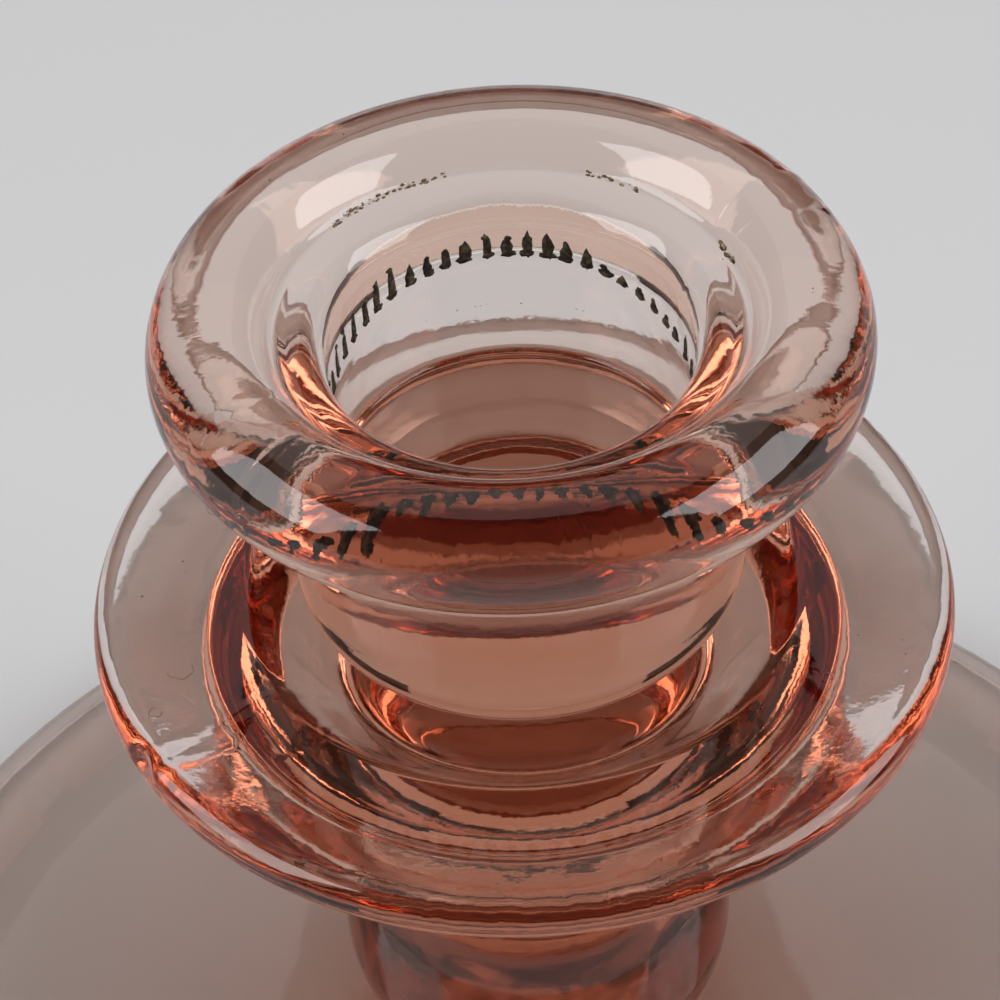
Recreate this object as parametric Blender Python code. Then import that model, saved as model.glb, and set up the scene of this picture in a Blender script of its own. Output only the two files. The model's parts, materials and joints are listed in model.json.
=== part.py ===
"""Pressed-glass candlestick for one dinner candle.

The glass is modelled as five stacked sections, parted at the waists of the pressing: foot, knop, stem,
drip_collar and candle_cup. Each section is one turned solid about the Z axis. Metres, +Z up, and the
foot stands on z = 0.
"""

import math

import bmesh
import bpy

# Foot: a round plate on a flat resting ring, with a shallow domed recess underneath.
FOOT_RADIUS = 0.0558
FOOT_HEIGHT = 0.0154
FOOT_EDGE_THICKNESS = 0.0042
FOOT_SHOULDER_HEIGHT = 0.0074
FOOT_SHOULDER_RADIUS = 0.0250
REST_RING_WIDTH = 0.0050
RECESS_DEPTH = 0.0020
RECESS_WALL = 0.0030

# Waists where two sections meet.
FOOT_WAIST_RADIUS = 0.0105
KNOP_WAIST_RADIUS = 0.0120
STEM_TOP_RADIUS = 0.0195
NECK_INSET = 0.0065

# Knop and stem.
KNOP_RADIUS = 0.0141
KNOP_HEIGHT = 0.0176
KNOP_GIRTH_HEIGHT = 0.0075
STEM_RADIUS = 0.0125
STEM_HEIGHT = 0.0130

# Drip collar: a flange with a round edge that thickens inwards, and a drip well round the neck.
COLLAR_RADIUS = 0.0289
COLLAR_THICKNESS = 0.0031
COLLAR_SECTION_HEIGHT = 0.0095
FLANGE_RISE = 0.0006
WELL_OFFSET = 0.0035
WELL_DEPTH = 0.0030
WELL_BANK = 0.0070
FLANGE_FALL = 0.0022
FLARE_OUTSET = 0.0025
FLARE_COVE = 0.0010

# Candle cup: a straight bore in a round-bottomed cup, under a thick rolled rim.
CUP_HEIGHT = 0.0265
CUP_WALL = 0.0033
CUP_BOTTOM_ROUND = 0.0046
BORE_RADIUS = 0.0117
BORE_DEPTH = 0.0131
BORE_CORNER_ROUND = 0.0006
MOUTH_ROUND = 0.0030
RIM_ROLL_RADIUS = 0.0041
RIM_OVERHANG = 0.0038
RIM_CREASE_DROP = 0.0028
RIM_UNDERCUT_ROUND = 0.0024

CUP_RADIUS = BORE_RADIUS + CUP_WALL
RIM_RING_RADIUS = CUP_RADIUS + RIM_OVERHANG
NECK_RADIUS = CUP_RADIUS - NECK_INSET
WELL_RADIUS = NECK_RADIUS + WELL_OFFSET
FLANGE_INNER_RADIUS = WELL_RADIUS + WELL_BANK
FLARE_RADIUS = FLANGE_INNER_RADIUS + FLARE_OUTSET

SECTION_GAP = 0.0003
TURN_STEPS = 64

GLASS_COLOUR = (0.80, 0.52, 0.46, 1.0)
GLASS_ROUGHNESS = 0.03
GLASS_IOR = 1.5


def clear_scene():
    for obj in list(bpy.data.objects):
        bpy.data.objects.remove(obj, do_unlink=True)


def glass_material(name):
    material = bpy.data.materials.new(name)
    material.use_nodes = True
    shader = material.node_tree.nodes["Principled BSDF"]
    shader.inputs["Base Color"].default_value = GLASS_COLOUR
    shader.inputs["Roughness"].default_value = GLASS_ROUGHNESS
    shader.inputs["Metallic"].default_value = 0.0
    shader.inputs["IOR"].default_value = GLASS_IOR
    shader.inputs["Transmission Weight"].default_value = 1.0
    return material


def arc(centre, radius, start, end, steps):
    """Points (r, z) along an arc from start to end, in degrees anticlockwise from the +r direction."""
    points = []
    for step in range(steps + 1):
        angle = math.radians(start + (end - start) * step / steps)
        points.append((centre[0] + radius * math.cos(angle), centre[1] + radius * math.sin(angle)))
    return points


def curve(start, pull_start, pull_end, end, steps):
    """Points (r, z) along a cubic curve that leaves start towards pull_start and reaches end from pull_end."""
    points = []
    for step in range(steps + 1):
        t = step / steps
        weights = ((1 - t) ** 3, 3 * t * (1 - t) ** 2, 3 * t * t * (1 - t), t ** 3)
        corners = (start, pull_start, pull_end, end)
        points.append(tuple(sum(w * c[axis] for w, c in zip(weights, corners)) for axis in (0, 1)))
    return points


def turned_section(name, profile, base):
    """A solid of revolution about Z: profile runs from the axis at the top, down the outside, to the axis."""
    mesh = bmesh.new()
    verts = [mesh.verts.new((r, 0.0, z - base)) for r, z in profile]
    edges = [mesh.edges.new(pair) for pair in zip(verts, verts[1:])]
    bmesh.ops.spin(
        mesh,
        geom=verts + edges,
        cent=(0, 0, 0),
        axis=(0, 0, 1),
        angle=math.tau,
        steps=TURN_STEPS,
        use_merge=True,
    )
    bmesh.ops.remove_doubles(mesh, verts=mesh.verts[:], dist=1e-6)
    bmesh.ops.recalc_face_normals(mesh, faces=mesh.faces[:])
    data = bpy.data.meshes.new(name)
    mesh.to_mesh(data)
    mesh.free()
    data.shade_smooth()
    data.set_sharp_from_angle(angle=math.radians(35))
    data.materials.append(glass_material(name + "_glass"))
    obj = bpy.data.objects.new(name, data)
    obj.location = (0, 0, base)
    bpy.context.scene.collection.objects.link(obj)
    return obj


def foot():
    top = FOOT_HEIGHT - SECTION_GAP / 2
    edge_round = FOOT_EDGE_THICKNESS / 2
    rest_inner = FOOT_RADIUS - edge_round - REST_RING_WIDTH
    recess_edge = rest_inner - RECESS_WALL
    shoulder = (FOOT_SHOULDER_RADIUS, FOOT_SHOULDER_HEIGHT)
    edge_top = (FOOT_RADIUS - edge_round, FOOT_EDGE_THICKNESS)
    profile = [(0, top)]
    profile += curve(
        (FOOT_WAIST_RADIUS, top),
        (FOOT_WAIST_RADIUS, (top + FOOT_SHOULDER_HEIGHT) / 2),
        ((FOOT_WAIST_RADIUS + FOOT_SHOULDER_RADIUS) / 2, FOOT_SHOULDER_HEIGHT + edge_round / 2),
        shoulder,
        6,
    )
    profile += arc((edge_top[0], edge_round), edge_round, 90, -90, 6)
    profile += [(rest_inner, 0)]
    profile += curve(
        (recess_edge, RECESS_DEPTH / 2),
        (recess_edge * 2 / 3, RECESS_DEPTH),
        (recess_edge / 3, RECESS_DEPTH),
        (0, RECESS_DEPTH),
        4,
    )
    return turned_section("foot", profile, 0)


def knop(base):
    low = base + SECTION_GAP / 2
    top = base + KNOP_HEIGHT - SECTION_GAP / 2
    girth = base + KNOP_GIRTH_HEIGHT
    upper_rise = top - girth
    lower_fall = girth - low
    profile = [(0, top)]
    profile += curve(
        (KNOP_WAIST_RADIUS, top),
        (KNOP_RADIUS - (KNOP_RADIUS - KNOP_WAIST_RADIUS) / 3, top - upper_rise / 5),
        (KNOP_RADIUS, girth + upper_rise / 2),
        (KNOP_RADIUS, girth),
        7,
    )
    profile += curve(
        (KNOP_RADIUS, girth),
        (KNOP_RADIUS, girth - lower_fall / 2),
        (KNOP_RADIUS - (KNOP_RADIUS - FOOT_WAIST_RADIUS) / 3, low + lower_fall / 8),
        (FOOT_WAIST_RADIUS, low),
        5,
    )[1:]
    profile += [(0, low)]
    return turned_section("knop", profile, base)


def stem(base):
    low = base + SECTION_GAP / 2
    top = base + STEM_HEIGHT - SECTION_GAP / 2
    middle = (low + top) / 2
    waist = (STEM_RADIUS, middle)
    profile = [(0, top)]
    profile += curve((STEM_TOP_RADIUS, top), (STEM_RADIUS, (top + middle) / 2), waist, waist, 4)
    profile += curve(waist, waist, (STEM_RADIUS, (middle + low) / 2), (KNOP_WAIST_RADIUS, low), 4)[1:]
    profile += [(0, low)]
    return turned_section("stem", profile, base)


def drip_collar(base):
    low = base + SECTION_GAP / 2
    joint = base + COLLAR_SECTION_HEIGHT
    top = joint - SECTION_GAP / 2
    flange_top = joint + FLANGE_RISE
    half = COLLAR_THICKNESS / 2
    flare_top = flange_top - COLLAR_THICKNESS - FLANGE_FALL
    edge_centre = (COLLAR_RADIUS - half, flange_top - half)
    well = (WELL_RADIUS, joint - WELL_DEPTH)
    profile = [(0, top)]
    well_pull = (well[0] - WELL_OFFSET / 3, well[1])
    profile += curve((NECK_RADIUS, top), (NECK_RADIUS, well[1]), well_pull, well, 3)
    profile += curve(
        well,
        (well[0] + WELL_BANK / 2, well[1]),
        (FLANGE_INNER_RADIUS - WELL_BANK / 3, flange_top),
        (FLANGE_INNER_RADIUS, flange_top),
        4,
    )[1:]
    profile += arc(edge_centre, half, 90, -90, 8)
    profile += curve(
        (FLARE_RADIUS, flare_top),
        (FLARE_RADIUS - FLARE_COVE, flare_top - FLARE_COVE),
        (STEM_TOP_RADIUS + FLARE_COVE / 2, low + FLARE_COVE),
        (STEM_TOP_RADIUS, low),
        6,
    )
    profile += [(0, low)]
    return turned_section("drip_collar", profile, base)


def candle_cup(base):
    low = base + SECTION_GAP / 2
    rim_top = base + CUP_HEIGHT
    crease = (CUP_RADIUS, rim_top - RIM_CREASE_DROP)
    floor = crease[1] - BORE_DEPTH
    roll_centre = (RIM_RING_RADIUS, rim_top - RIM_ROLL_RADIUS)
    bottom_centre = (CUP_RADIUS - CUP_BOTTOM_ROUND, low + CUP_BOTTOM_ROUND)
    under_roll = roll_centre[1] - RIM_ROLL_RADIUS
    profile = [(0, floor)]
    corner = (BORE_RADIUS - BORE_CORNER_ROUND, floor + BORE_CORNER_ROUND)
    profile += arc(corner, BORE_CORNER_ROUND, -90, 0, 2)
    profile += curve(
        (BORE_RADIUS, crease[1] - MOUTH_ROUND),
        (BORE_RADIUS, crease[1] - MOUTH_ROUND / 3),
        (BORE_RADIUS + (CUP_RADIUS - BORE_RADIUS) / 3, crease[1] - MOUTH_ROUND / 8),
        crease,
        5,
    )
    profile += curve(
        crease,
        (crease[0] + RIM_CREASE_DROP / 3, crease[1] + RIM_CREASE_DROP * 2 / 3),
        (RIM_RING_RADIUS - RIM_ROLL_RADIUS / 2, rim_top),
        (RIM_RING_RADIUS, rim_top),
        4,
    )[1:-1]
    profile += arc(roll_centre, RIM_ROLL_RADIUS, 90, -90, 10)
    profile += curve(
        (RIM_RING_RADIUS - RIM_ROLL_RADIUS / 4, under_roll),
        (CUP_RADIUS + RIM_UNDERCUT_ROUND / 2, under_roll),
        (CUP_RADIUS, under_roll - RIM_UNDERCUT_ROUND / 2),
        (CUP_RADIUS, under_roll - RIM_UNDERCUT_ROUND),
        3,
    )
    profile += arc(bottom_centre, CUP_BOTTOM_ROUND, 0, -90, 5)
    profile += [(0, low)]
    return turned_section("candle_cup", profile, base)


def build():
    clear_scene()
    foot()
    level = FOOT_HEIGHT
    knop(level)
    level += KNOP_HEIGHT
    stem(level)
    level += STEM_HEIGHT
    drip_collar(level)
    level += COLLAR_SECTION_HEIGHT
    candle_cup(level)


build()
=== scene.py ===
import json
import math
import random

import bmesh
import bpy
from mathutils import Matrix, Quaternion, Vector, noise

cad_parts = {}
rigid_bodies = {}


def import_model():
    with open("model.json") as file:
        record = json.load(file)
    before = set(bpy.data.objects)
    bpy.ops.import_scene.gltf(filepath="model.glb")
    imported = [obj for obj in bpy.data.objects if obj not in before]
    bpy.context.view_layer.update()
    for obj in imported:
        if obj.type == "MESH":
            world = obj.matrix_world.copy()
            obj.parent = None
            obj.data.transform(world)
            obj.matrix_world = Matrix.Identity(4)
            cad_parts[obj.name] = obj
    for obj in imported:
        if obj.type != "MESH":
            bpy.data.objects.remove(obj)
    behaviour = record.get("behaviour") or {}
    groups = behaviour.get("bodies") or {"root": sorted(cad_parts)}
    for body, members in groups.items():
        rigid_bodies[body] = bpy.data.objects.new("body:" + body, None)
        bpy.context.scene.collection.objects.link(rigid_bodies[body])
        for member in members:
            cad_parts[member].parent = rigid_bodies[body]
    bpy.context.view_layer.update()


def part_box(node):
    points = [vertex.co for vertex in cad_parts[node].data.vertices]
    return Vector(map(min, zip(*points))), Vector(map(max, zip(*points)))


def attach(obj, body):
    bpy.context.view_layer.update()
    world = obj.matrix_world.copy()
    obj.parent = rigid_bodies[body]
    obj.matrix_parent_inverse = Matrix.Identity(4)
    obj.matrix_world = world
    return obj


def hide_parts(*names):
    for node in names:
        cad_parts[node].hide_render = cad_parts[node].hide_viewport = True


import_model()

mm = 0.001


class Wire:
    # a node socket that Python sums can use
    def __init__(self, tree, socket):
        self.tree = tree
        self.socket = socket

    def node(self, kind, settings=None, sockets=None, out=0):
        return addNode(self.tree, kind, settings, sockets, out)

    def sum(self, operation, first, second):
        return self.node("ShaderNodeMath", {"operation": operation}, {0: first, 1: second})

    def __add__(self, other):
        return self.sum("ADD", self, other)

    def __mul__(self, other):
        return self.sum("MULTIPLY", self, other)


def addNode(tree, kind, settings=None, sockets=None, out=0):
    node = tree.nodes.new(kind)
    for key, value in (settings or {}).items():
        if key == "stops":
            ramp = node.color_ramp
            while len(ramp.elements) < len(value):
                ramp.elements.new(0.5)
            for stop, (place, colour) in zip(ramp.elements, value):
                stop.position = place
                stop.color = (*colour, 1)
        else:
            setattr(node, key, value)
    for key, value in (sockets or {}).items():
        if isinstance(value, Wire):
            tree.links.new(value.socket, node.inputs[key])
        else:
            node.inputs[key].default_value = value
    return Wire(tree, node.outputs[out])


def newMaterial(name):
    material = bpy.data.materials.new(name)
    material.use_nodes = True
    tree = material.node_tree
    shader = tree.nodes["Principled BSDF"]
    return material, tree, shader


# clear pink glass, coloured by its depth, with a faint ripple
glassLook = {
    "roughness": 0.0,
    "ior": 1.5,
    "absorbPerMetre": (13.0, 36.0, 48.0),
    "broadScale": 160,
    "broadHeight": 0.05 * mm,
    "fineScale": 650,
    "fineHeight": 0.016 * mm,
}


def makeGlass():
    material, tree, shader = newMaterial("pinkPressedGlass")
    strongest = max(glassLook["absorbPerMetre"]) * 1.02
    shader.inputs["Base Color"].default_value = (1, 1, 1, 1)
    shader.inputs["Roughness"].default_value = glassLook["roughness"]
    shader.inputs["IOR"].default_value = glassLook["ior"]
    shader.inputs["Transmission Weight"].default_value = 1.0
    place = addNode(tree, "ShaderNodeTexCoord", out=3)  # object coordinates
    broadSockets = {"Vector": place, "Scale": glassLook["broadScale"], "Detail": 2.0}
    fineSockets = {"Vector": place, "Scale": glassLook["fineScale"], "Detail": 5.0}
    broad = place.node("ShaderNodeTexNoise", None, broadSockets)
    fine = place.node("ShaderNodeTexNoise", None, fineSockets)
    height = broad * glassLook["broadHeight"] + fine * glassLook["fineHeight"]
    bump = height.node("ShaderNodeBump", None, {"Height": height, "Strength": 1.0, "Distance": 1.0})
    tree.links.new(bump.socket, shader.inputs["Normal"])
    absorb = tree.nodes.new("ShaderNodeVolumeAbsorption")
    absorb.inputs["Color"].default_value = (*[1 - a / strongest for a in glassLook["absorbPerMetre"]], 1)
    absorb.inputs["Density"].default_value = strongest
    tree.links.new(absorb.outputs[0], tree.nodes["Material Output"].inputs["Volume"])
    return material


# the five sections set where the one turned body of glass begins and ends
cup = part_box("candle_cup")
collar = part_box("drip_collar")
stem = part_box("stem")
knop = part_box("knop")
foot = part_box("foot")

bodyShape = {
    "turnSteps": 300,
    "boreRadius": 11.7 * mm,
    "boreDepth": 13.1 * mm,
    "boreCornerRound": 0.6 * mm,
    "mouthRound": 3.0 * mm,
    "cupRadius": 15.0 * mm,
    "cupBottomRound": 4.6 * mm,
    "rimRoll": 4.1 * mm,
    "rimCreaseDrop": 2.8 * mm,
    "creaseGroove": 0.12 * mm,
    "rimUndercut": 1.5 * mm,
    "rimSlant": 6,
    "neckRadius": 8.5 * mm,
    "wellRadius": 12.0 * mm,
    "wellDrop": 3.6 * mm,
    "wellFlat": 3.0 * mm,
    "bankRound": 1.5 * mm,
    "flangeInner": 19.0 * mm,
    "flangeThickness": 3.1 * mm,
    "flangeFall": 2.2 * mm,
    "flareRadius": 21.5 * mm,
    "flareCove": 1.0 * mm,
    "flareFall": 1.0 * mm,
    "stemTopRadius": 19.5 * mm,
    "stemRadius": 12.5 * mm,
    "stemFootRadius": 12.0 * mm,
    "knopGirth": 7.5 * mm,
    "footWaist": 10.5 * mm,
    "shoulderRadius": 25.0 * mm,
    "shoulderHeight": 7.4 * mm,
    "footEdge": 4.2 * mm,
    "restWidth": 5.0 * mm,
    "recessDepth": 2.0 * mm,
    "recessWall": 3.0 * mm,
    "wave": 0.02 * mm,
    "waveScale": 130,
    "seamTurns": (30, 210),
    "seamHalfTurn": 0.5,
    "seamHeight": 0.05 * mm,
    "seamTopFrom": 44 * mm,
    "rays": 40,
    "rayDepth": 0.10 * mm,
    "rayInner": 14 * mm,
    "rayOuter": 44 * mm,
    "rayBend": 9,
    "rayBendScale": 60,
    "chipTurn": 209,
    "chipDrop": 1.0 * mm,
    "chipWidth": 1.3 * mm,
    "chipDepth": 0.7 * mm,
    "chipGrain": 2500,
}


def atTurn(radius, turn, height):
    angle = math.radians(turn)
    return Vector((radius * math.cos(angle), radius * math.sin(angle), height))


def arc(centre, radius, start, end, steps):
    turn = [math.radians(start + (end - start) * i / steps) for i in range(steps + 1)]
    return [(centre[0] + radius * math.cos(a), centre[1] + radius * math.sin(a)) for a in turn]


def curve(start, pullStart, pullEnd, end, steps):
    points = []
    for i in range(steps + 1):
        t = i / steps
        weights = ((1 - t) ** 3, 3 * t * (1 - t) ** 2, 3 * t * t * (1 - t), t ** 3)
        corners = (start, pullStart, pullEnd, end)
        points.append(tuple(sum(w * c[k] for w, c in zip(weights, corners)) for k in (0, 1)))
    return points


def bodyProfile(s):
    rimTop = cup[1].z
    rimOuter = cup[1].x
    ring = rimOuter - s["rimRoll"]
    crease = (s["cupRadius"], rimTop - s["rimCreaseDrop"])
    floor = crease[1] - s["boreDepth"]
    neck = cup[0].z
    bore = s["boreRadius"]
    points = [(bore * k / 5, floor) for k in range(5)]
    points += arc((bore - s["boreCornerRound"], floor + s["boreCornerRound"]), s["boreCornerRound"], -90, 0, 6)
    low = points[-1][1]
    high = crease[1] - s["mouthRound"]
    points += [(bore, low + (high - low) * k / 8) for k in range(1, 8)]
    points += curve((bore, high), (bore, crease[1] - s["mouthRound"] / 3),
                    (bore + (crease[0] - bore) / 3, crease[1] - s["mouthRound"] / 8), crease, 14)[:-1]
    points += [(crease[0], crease[1] - s["creaseGroove"])]
    points += curve(crease, (crease[0] + s["rimCreaseDrop"] / 3, crease[1] + s["rimCreaseDrop"] * 2 / 3),
                    (ring - s["rimRoll"] / 2, rimTop), (ring, rimTop), 12)[1:-1]
    slant = math.radians(s["rimSlant"])
    points += arc((ring, rimTop - s["rimRoll"]), s["rimRoll"], 90, s["rimSlant"] - 90, 36)
    run = points[-1][0] - s["cupRadius"]
    rootPoint = (s["cupRadius"], points[-1][1] - run * math.tan(slant))
    pull = (rootPoint[0] + run * 0.25, rootPoint[1] + run * 0.25 * math.tan(slant))
    points += curve(points[-1], pull, rootPoint, (s["cupRadius"], rootPoint[1] - s["rimUndercut"]), 10)[1:]
    bottom = (s["cupRadius"] - s["cupBottomRound"], neck + s["cupBottomRound"])
    wallLow = bottom[1]
    wallHigh = points[-1][1]
    points += [(s["cupRadius"], wallHigh + (wallLow - wallHigh) * k / 6) for k in range(1, 6)]
    neckTurn = math.degrees(math.acos(max(0, s["neckRadius"] - bottom[0]) / s["cupBottomRound"]))
    points += arc(bottom, s["cupBottomRound"], 0, -neckTurn, 20)
    flangeTop = collar[1].z
    flangeLow = flangeTop - s["flangeThickness"]
    well = (s["wellRadius"], flangeTop - s["wellDrop"])
    crest = (s["flangeInner"], flangeTop)
    neckFoot = (s["neckRadius"], well[1])
    points += curve((s["neckRadius"], neck - 0.3 * mm), neckFoot, neckFoot, well, 8)
    bank = (crest[0] - s["bankRound"], crest[1])
    points += curve(well, (well[0] + s["wellFlat"], well[1]), bank, crest, 16)[1:]
    half = s["flangeThickness"] / 2
    outer = collar[1].x
    points += [(s["flangeInner"] + (outer - half - s["flangeInner"]) * k / 4, flangeTop) for k in range(1, 4)]
    points += arc((outer - half, flangeTop - half), half, 90, -90, 18)
    points += [(outer - half + (s["flareRadius"] - outer + half) * k / 6,
                flangeLow - s["flangeFall"] * k / 6) for k in range(1, 6)]
    flare = (s["flareRadius"], flangeLow - s["flangeFall"])
    root = (s["stemTopRadius"], collar[0].z)
    points += curve(flare, (flare[0] - s["flareCove"], flare[1] - s["flareFall"]),
                    (root[0] + s["flareCove"] / 2, root[1] + s["flareCove"]), root, 14)
    stemTop = stem[1].z
    stemLow = stem[0].z
    middle = (stemTop + stemLow) / 2
    points += curve((s["stemTopRadius"], stemTop), (s["stemRadius"], (stemTop + middle) / 2),
                    (s["stemRadius"], middle), (s["stemRadius"], middle), 8)[1:]
    points += curve((s["stemRadius"], middle), (s["stemRadius"], middle),
                    (s["stemRadius"], (middle + stemLow) / 2), (s["stemFootRadius"], stemLow), 8)[1:]
    girth = knop[0].z + s["knopGirth"]
    knopRadius = knop[1].x
    rise = knop[1].z - girth
    fall = girth - knop[0].z
    upperStep = knopRadius - s["stemFootRadius"]
    lowerStep = knopRadius - s["footWaist"]
    points += curve((s["stemFootRadius"], knop[1].z), (knopRadius - upperStep / 3, knop[1].z - rise / 5),
                    (knopRadius, girth + rise / 2), (knopRadius, girth), 20)
    points += curve((knopRadius, girth), (knopRadius, girth - fall / 2),
                    (knopRadius - lowerStep / 3, knop[0].z + fall / 8), (s["footWaist"], knop[0].z), 16)[1:]
    footTop = foot[1].z
    edge = s["footEdge"] / 2
    footR = foot[1].x
    points += curve((s["footWaist"], footTop), (s["footWaist"], (footTop + s["shoulderHeight"]) / 2),
                    ((s["footWaist"] + s["shoulderRadius"]) / 2, s["shoulderHeight"] + edge / 2),
                    (s["shoulderRadius"], s["shoulderHeight"]), 16)
    points += [(s["shoulderRadius"] + (footR - edge - s["shoulderRadius"]) * k / 12,
                s["shoulderHeight"] + (s["footEdge"] - s["shoulderHeight"]) * k / 12) for k in range(1, 12)]
    points += arc((footR - edge, edge), edge, 90, -90, 14)
    restInner = footR - edge - s["restWidth"]
    recessEdge = restInner - s["recessWall"]
    points += [(restInner, 0)]
    points += curve((recessEdge, s["recessDepth"] / 2), (recessEdge * 2 / 3, s["recessDepth"]),
                    (recessEdge / 3, s["recessDepth"]), (0, s["recessDepth"]), 24)
    return points


def turnBody(points, steps):
    mesh = bmesh.new()
    verts = [mesh.verts.new((r, 0, z)) for r, z in points]
    edges = [mesh.edges.new(pair) for pair in zip(verts, verts[1:])]
    bmesh.ops.spin(mesh, geom=verts + edges, cent=(0, 0, 0), axis=(0, 0, 1), angle=math.tau,
                   steps=steps, use_merge=True)
    bmesh.ops.remove_doubles(mesh, verts=mesh.verts[:], dist=0.000001)
    bmesh.ops.recalc_face_normals(mesh, faces=mesh.faces[:])
    return mesh


def finishPiece(name, mesh, material, body="root", replaced=()):
    data = bpy.data.meshes.new(name)
    mesh.to_mesh(data)
    mesh.free()
    data.materials.append(material)
    data.shade_smooth()
    piece = bpy.data.objects.new(name, data)
    bpy.context.scene.collection.objects.link(piece)
    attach(piece, body)
    if replaced:
        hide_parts(*replaced)
    return piece


def shapeBody():
    mesh = turnBody(bodyProfile(bodyShape), bodyShape["turnSteps"])
    mesh.normal_update()
    s = bodyShape
    recessTop = s["recessDepth"] + 0.1 * mm
    chip = atTurn(collar[1].x, s["chipTurn"], collar[1].z - s["chipDrop"])
    for vert in mesh.verts:
        spot = vert.co.copy()
        turn = math.degrees(math.atan2(spot.y, spot.x)) % 360
        reach = math.hypot(spot.x, spot.y)
        push = noise.noise(spot * s["waveScale"]) * s["wave"]
        onSeam = min(abs(turn - seam) for seam in s["seamTurns"]) < s["seamHalfTurn"]
        if onSeam and spot.z > s["seamTopFrom"] and reach > s["cupRadius"]:
            push += s["seamHeight"]
        if spot.z < recessTop and s["rayInner"] < reach < s["rayOuter"]:
            fade = math.sin(math.pi * (reach - s["rayInner"]) / (s["rayOuter"] - s["rayInner"]))
            bend = noise.noise(Vector((spot.x, spot.y, 0)) * s["rayBendScale"]) * s["rayBend"]
            push += s["rayDepth"] * fade * abs(math.sin(math.radians(turn + bend) * s["rays"] / 2))
        away = (spot - chip).length
        if away < s["chipWidth"]:
            rough = 1 + 0.6 * noise.noise(spot * s["chipGrain"])
            push -= s["chipDepth"] * (1 - away / s["chipWidth"]) * rough
        vert.co += vert.normal * push
    return mesh


def makeBody():
    mesh = shapeBody()
    sections = ("candle_cup", "drip_collar", "stem", "knop", "foot")
    piece = finishPiece("glassBody", mesh, makeGlass(), replaced=sections)
    print("glass body:", len(piece.data.polygons), "faces")
    return piece


makeBody()


# soot and wax left by candles, and years of dust
sootLook = {
    "colour": (0.022, 0.014, 0.009),
    "paleColour": (0.12, 0.09, 0.05),
    "patchScale": 2600,
    "roughness": 0.85,
    "bumpStrength": 0.6,
    "bumpDistance": 0.1 * mm,
}
dustLook = {"colour": (0.16, 0.10, 0.045), "paleColour": (0.50, 0.39, 0.22)}
marks = {
    "count": 54,
    "ringHeight": 71.2 * mm,
    "ringTilt": 3.2 * mm,
    "width": 0.85 * mm,
    "tall": 2.0 * mm,
    "thick": 0.22 * mm,
    "stretches": ((20, 62, 0.5), (130, 200, 1.25), (200, 340, 0.6)),  # from turn, to turn, times as tall
}


def makeSoot(name, colour, paleColour):
    material, tree, shader = newMaterial(name)
    place = addNode(tree, "ShaderNodeTexCoord", out=3)  # object coordinates
    patchSockets = {"Vector": place, "Scale": sootLook["patchScale"], "Detail": 4.0}
    patch = place.node("ShaderNodeTexNoise", None, patchSockets)
    stops = {"stops": ((0.46, colour), (0.66, paleColour))}
    tone = patch.node("ShaderNodeValToRGB", stops, {"Fac": patch})
    bumpSockets = {"Height": patch, "Strength": sootLook["bumpStrength"], "Distance": sootLook["bumpDistance"]}
    bump = patch.node("ShaderNodeBump", None, bumpSockets)
    tree.links.new(tone.socket, shader.inputs["Base Color"])
    tree.links.new(bump.socket, shader.inputs["Normal"])
    shader.inputs["Roughness"].default_value = sootLook["roughness"]
    return material


def addCrust(mesh, place, size, turn, grain, taper=0.0, detail=1):
    # size is along the wall, out of the wall, and up
    made = bmesh.ops.create_icosphere(mesh, subdivisions=detail, radius=0.5)["verts"]
    for vert in made:
        lump = 1 + 0.55 * noise.noise(vert.co * 3.1 + Vector((grain, 0, 0)))
        narrow = 1 - taper * (vert.co.z + 0.5)
        along = vert.co.y * size[0] * narrow
        vert.co = Vector((vert.co.x * size[1], along, vert.co.z * size[2])) * lump
    bmesh.ops.rotate(mesh, verts=made, cent=(0, 0, 0), matrix=Matrix.Rotation(math.radians(turn), 3, "Z"))
    bmesh.ops.translate(mesh, verts=made, vec=place)


def makeMarks(material):
    # a row of burnt marks on a tilted ring round the bore
    dice = random.Random(7)
    mesh = bmesh.new()
    wall = bodyShape["boreRadius"]
    for k in range(marks["count"]):
        turn = 360 * (k + 0.5) / marks["count"] + dice.uniform(-0.5, 0.5)
        tall = marks["tall"] * dice.uniform(0.75, 1.1)
        for start, end, factor in marks["stretches"]:
            if start < turn < end:
                tall *= factor
        low = marks["ringHeight"] + marks["ringTilt"] * math.sin(math.radians(turn))
        middle = atTurn(wall, turn, low + tall / 2)
        width = marks["width"] * dice.uniform(0.75, 1.15)
        addCrust(mesh, middle, (width, marks["thick"], tall), turn, k * 5.3, 0.32, 2)
        lowEnd = atTurn(wall, turn + dice.uniform(-0.6, 0.6), low + 0.28 * mm)
        addCrust(mesh, lowEnd, (width * 1.15, marks["thick"] * 1.2, 0.6 * mm), turn, k * 3.7, 0, 2)
        if dice.random() < 0.5:
            top = atTurn(wall, turn + dice.uniform(-0.8, 0.8), low + tall * dice.uniform(0.85, 1.1))
            addCrust(mesh, top, (width * 0.6, marks["thick"], 0.4 * mm), turn, k * 2.9, 0, 2)
    finishPiece("burntMarks", mesh, material)
    print("burnt marks:", marks["count"])


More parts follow.
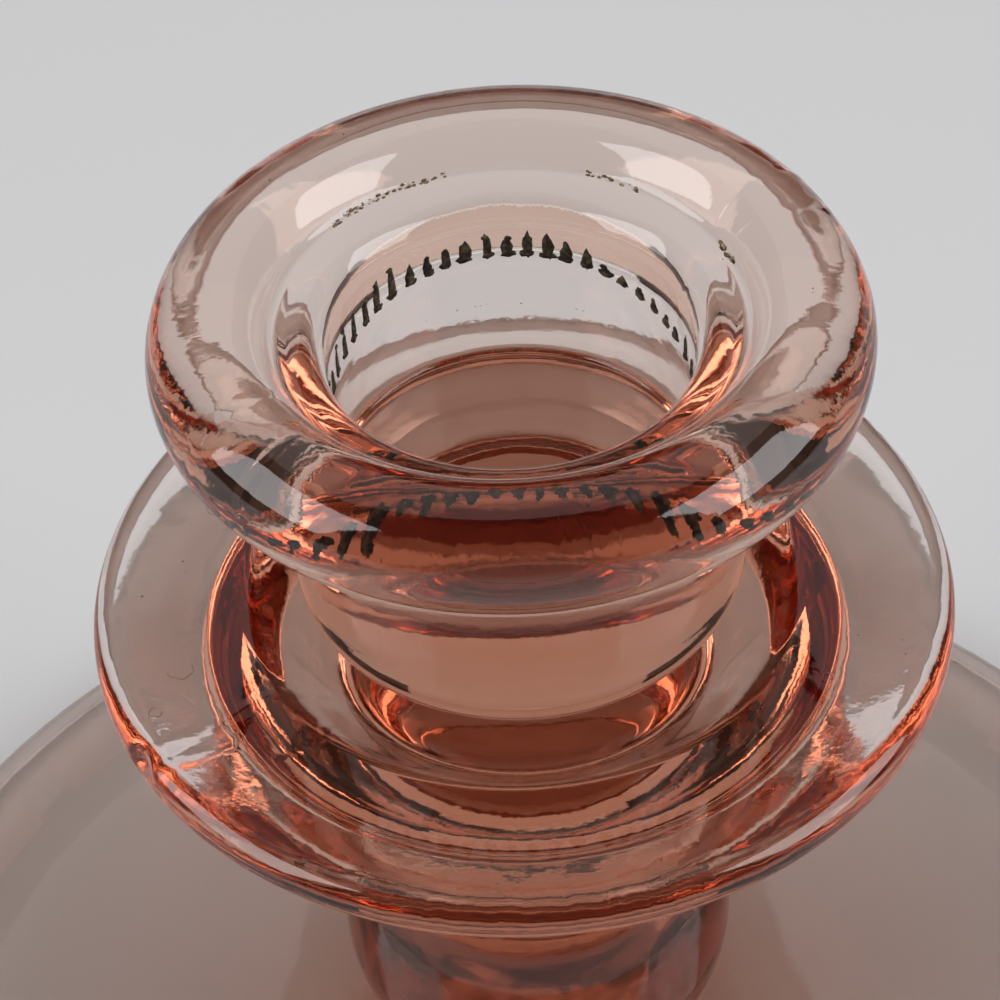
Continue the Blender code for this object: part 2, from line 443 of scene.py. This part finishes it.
# where dust has gathered, as turn from, turn to, grains, radius, height, biggest grain
dust = {
    "creaseBackLeft": (104, 138, 70, 15.0 * mm, 79.15 * mm, 0.46 * mm),
    "creaseBackRight": (52, 72, 30, 15.0 * mm, 79.15 * mm, 0.42 * mm),
    "creaseRight": (17, 25, 16, 14.9 * mm, 79.10 * mm, 0.75 * mm),
    "creaseFrontLeft": (246, 262, 26, 14.9 * mm, 79.10 * mm, 0.42 * mm),
    "creaseFrontRight": (286, 322, 60, 14.9 * mm, 79.10 * mm, 0.40 * mm),
    "boreCorner": (0, 360, 260, 11.55 * mm, 66.2 * mm, 0.20 * mm),
    "ringTrace": (0, 360, 60, 11.66 * mm, 70.4 * mm, 0.14 * mm),
}


# single specks, in millimetres
specks = {
    "onCollar": 26,
    "collarBand": (20, 27),
    "collarSize": (0.06, 0.2),
    "onRim": 14,
    "rimRing": 18.8,
    "rimSize": (0.05, 0.16),
}


def makeDust(material):
    dice = random.Random(23)
    mesh = bmesh.new()
    for start, end, count, radius, height, biggest in dust.values():
        for k in range(count):
            turn = dice.uniform(start, end)
            size = biggest * dice.uniform(0.25, 1) ** 1.5
            spread = biggest * 1.2
            out = radius + dice.uniform(-spread, spread) * 0.4
            place = atTurn(out, turn, height + dice.uniform(-spread, spread) * 0.3)
            addCrust(mesh, place, (size, size * 0.5, size * 0.6), turn, k * 1.9)
    for k in range(specks["onCollar"]):
        turn = dice.uniform(0, 360)
        place = atTurn(dice.uniform(*specks["collarBand"]) * mm, turn, collar[1].z + 0.02 * mm)
        size = dice.uniform(*specks["collarSize"]) * mm
        addCrust(mesh, place, (size, size, size * 0.4), turn, k * 2.3)
    for k in range(specks["onRim"]):
        turn = dice.uniform(0, 360)
        place = atTurn(specks["rimRing"] * mm, turn, cup[1].z)
        size = dice.uniform(*specks["rimSize"]) * mm
        addCrust(mesh, place, (size, size, size * 0.4), turn, k * 2.3)
    finishPiece("dustGrains", mesh, material)
    print("dust grains placed")


# each lint thread has a start as turn and radius, a length, and how much it curls
lint = {
    "thick": 0.045 * mm,
    "colour": (0.16, 0.10, 0.07),
    "paleColour": (0.4, 0.33, 0.28),
    "joints": 15,
    "threads": ((197, 24.6, 3.2, 1.5), (204, 26.0, 2.2, -2.1), (158, 23.0, 2.6, 1.1), (332, 22.4, 2.0, 2.4)),
}


def addThread(mesh, points, radius):
    # a thin closed tube along the points
    rings = []
    for k, point in enumerate(points):
        along = (points[min(k + 1, len(points) - 1)] - points[max(k - 1, 0)]).normalized()
        turn = along.to_track_quat("Z", "Y").to_matrix().to_4x4()
        matrix = Matrix.Translation(point) @ turn
        rings.append(bmesh.ops.create_circle(mesh, segments=6, radius=radius, matrix=matrix)["verts"])
    for low, high in zip(rings, rings[1:]):
        around = low + high
        edges = [e for v in around for e in v.link_edges if e.other_vert(v) in around]
        bmesh.ops.bridge_loops(mesh, edges=list(dict.fromkeys(edges)))
    for ring in (rings[0], rings[-1]):
        bmesh.ops.contextual_create(mesh, geom=ring)


def makeLint():
    mesh = bmesh.new()
    for turn, radius, length, curl in lint["threads"]:
        point = atTurn(radius * mm, turn, collar[1].z + 0.08 * mm)
        heading = math.radians(turn + 70)
        points = []
        for k in range(lint["joints"]):
            points.append(point.copy())
            heading += curl * 0.16 + 0.35 * math.sin(k * 1.3)
            stride = Vector((math.cos(heading), math.sin(heading), 0.12 * math.sin(k * 0.9)))
            point += stride * length * mm / lint["joints"]
        addThread(mesh, points, lint["thick"] / 2)
    bmesh.ops.recalc_face_normals(mesh, faces=mesh.faces[:])
    finishPiece("lintThreads", mesh, makeSoot("lintFibre", lint["colour"], lint["paleColour"]))
    print("lint threads:", len(lint["threads"]))


makeMarks(makeSoot("candleSoot", sootLook["colour"], sootLook["paleColour"]))
makeDust(makeSoot("waxDust", dustLook["colour"], dustLook["paleColour"]))
makeLint()


# pale floor, two soft side lamps, one overhead, and dark cards that the glass picks up
studio = {
    "floorColour": (0.72, 0.72, 0.73),
    "worldColour": (0.55, 0.55, 0.56),
    "worldStrength": 0.11,
    "lens": 125.4,
    "cameraHeight": 222.9 * mm,
    "cameraBack": 163.3 * mm,
    "aim": (-1.2 * mm, 0, 63.5 * mm),
    "roll": 3.115,
}


def makeFloor():
    mesh = bmesh.new()
    bmesh.ops.create_grid(mesh, x_segments=1, y_segments=1, size=1.5)
    data = bpy.data.meshes.new("floor")
    mesh.to_mesh(data)
    mesh.free()
    floor = bpy.data.objects.new("floor", data)
    bpy.context.scene.collection.objects.link(floor)
    material, _, shader = newMaterial("paleFloor")
    shader.inputs["Base Color"].default_value = (*studio["floorColour"], 1)
    shader.inputs["Roughness"].default_value = 0.75
    data.materials.append(material)


def addLamp(name, place, aim, size, power):
    lamp = bpy.data.lights.new(name, "AREA")
    lamp.shape = "RECTANGLE"
    lamp.size, lamp.size_y = size
    lamp.energy = power
    holder = bpy.data.objects.new(name, lamp)
    holder.location = place
    holder.rotation_euler = (Vector(aim) - Vector(place)).to_track_quat("-Z", "Y").to_euler()
    bpy.context.scene.collection.objects.link(holder)


def addCard(name, place, aim, size, grey):
    mesh = bmesh.new()
    bmesh.ops.create_grid(mesh, x_segments=1, y_segments=1, size=0.5)
    data = bpy.data.meshes.new(name)
    turn = (Vector(aim) - Vector(place)).to_track_quat("Z", "Y").to_matrix().to_4x4()
    matrix = Matrix.Translation(place) @ turn @ Matrix.Diagonal((*size, 1, 1))
    bmesh.ops.transform(mesh, matrix=matrix, verts=mesh.verts)
    mesh.to_mesh(data)
    mesh.free()
    card = bpy.data.objects.new(name, data)
    bpy.context.scene.collection.objects.link(card)
    material, _, shader = newMaterial(name)
    shader.inputs["Base Color"].default_value = (grey, grey, grey, 1)
    shader.inputs["Roughness"].default_value = 0.9
    data.materials.append(material)
    card.visible_camera = False
    card.visible_shadow = False


def makeStudio():
    world = bpy.data.worlds.new("studio")
    world.use_nodes = True
    world.node_tree.nodes["Background"].inputs["Color"].default_value = (*studio["worldColour"], 1)
    world.node_tree.nodes["Background"].inputs["Strength"].default_value = studio["worldStrength"]
    bpy.context.scene.world = world
    addLamp("leftLamp", (-0.80, -0.20, 0.55), (0, 0, 0.05), (0.7, 0.7), 7.0)
    addLamp("rightLamp", (0.80, -0.20, 0.55), (0, 0, 0.05), (0.7, 0.7), 7.0)
    addLamp("topSoftbox", (0.0, 0.40, 0.75), (0, 0, 0.05), (0.9, 0.9), 1.55)
    addLamp("backStrip", (0.0, 0.60, 0.06), (0, 0, 0.06), (0.46, 0.13), 0.10)
    addCard("leftFlag", (-0.145, 0.235, 0.05), (0, 0, 0.05), (0.13, 0.24), 0.02)
    addCard("rightFlag", (0.145, 0.235, 0.05), (0, 0, 0.05), (0.13, 0.24), 0.02)


def makeCamera():
    lens = bpy.data.cameras.new("camera")
    lens.lens = studio["lens"]
    lens.sensor_width = 36
    lens.clip_start = 0.01
    holder = bpy.data.objects.new("camera", lens)
    place = Vector((0, -studio["cameraBack"], studio["cameraHeight"]))
    aim = Vector(studio["aim"]) - place
    turn = aim.to_track_quat("-Z", "Y") @ Quaternion((0, 0, 1), -math.radians(studio["roll"]))
    holder.location = place
    holder.rotation_euler = turn.to_euler()
    bpy.context.scene.collection.objects.link(holder)
    bpy.context.scene.camera = holder


makeFloor()
makeStudio()
makeCamera()
scene = bpy.context.scene
scene.view_settings.view_transform = "Standard"
scene.cycles.max_bounces = 24
scene.cycles.transmission_bounces = 24
scene.cycles.glossy_bounces = 16
print("studio ready")
